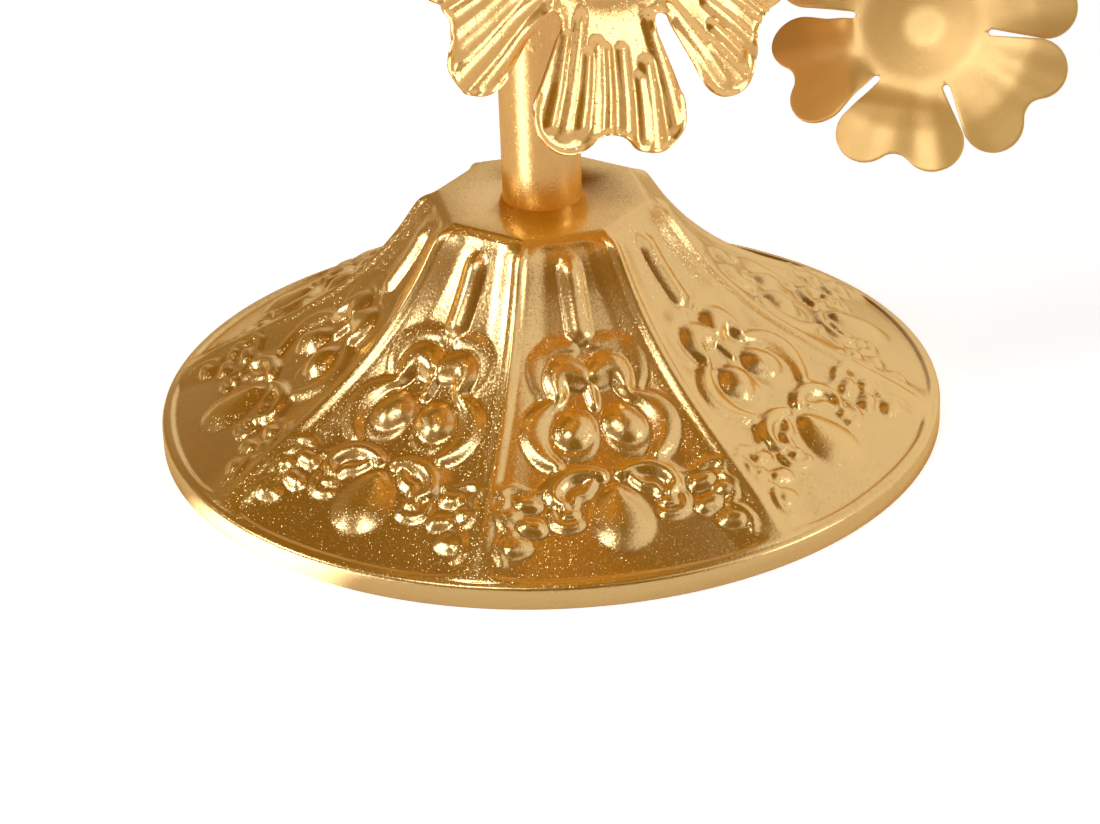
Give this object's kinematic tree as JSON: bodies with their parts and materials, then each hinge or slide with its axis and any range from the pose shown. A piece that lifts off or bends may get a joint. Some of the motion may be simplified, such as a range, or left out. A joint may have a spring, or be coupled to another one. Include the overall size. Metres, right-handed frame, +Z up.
{
  "type": "candle holder",
  "caption": "Single taper candle holder: stamped eight-sided scroll foot, slim tube stem with six-petalled metal flowers on curved stalks, loose flower-shaped drip pan.",
  "frame": {"origin": "on the table under the middle of the stem, the centre of the felt pad's underside", "axes": "+Z up along the stem, -Y towards the front flower's side and the viewer, +X towards the low right flower"},
  "size_m": [0.1848, 0.16, 0.3103],
  "materials": {
    "foot_gold": "metallic gold paint with fine flake, satin to gloss",
    "stem_gold": "satin gold, lightly brushed",
    "veined_gold": "glossy gold with fine flake",
    "smooth_gold": "smooth satin gold",
    "plain_steel": "zinc plated",
    "felt": "black felt"
  },
  "bodies": {
    "holder": {"foot_shell": "foot_gold", "base_disc": "plain_steel", "felt_pad": "felt", "stem_tube": "stem_gold", "lower_bush": "plain_steel", "upper_bush": "plain_steel", "tie_rod": "plain_steel", "foot_washer": "plain_steel", "foot_nut": "plain_steel", "top_knop": "stem_gold", "candle_cup": "stem_gold", "front_flower": "veined_gold", "front_boss": "stem_gold", "front_stalk": "stem_gold", "right_flower": "smooth_gold", "right_boss": "stem_gold", "right_stalk": "stem_gold", "left_flower": "veined_gold", "left_boss": "stem_gold", "left_stalk": "stem_gold", "back_flower": "smooth_gold", "back_boss": "stem_gold", "back_stalk": "stem_gold", "upper_flower": "smooth_gold", "upper_boss": "stem_gold", "upper_stalk": "stem_gold"},
    "pan": {"drip_pan": "veined_gold"}
  },
  "joints": [
    {"name": "pan_lift", "type": "slide", "parent": "holder", "child": "pan", "axis": [0, 0, 1], "range_m": [0, 0.04]}
  ]
}
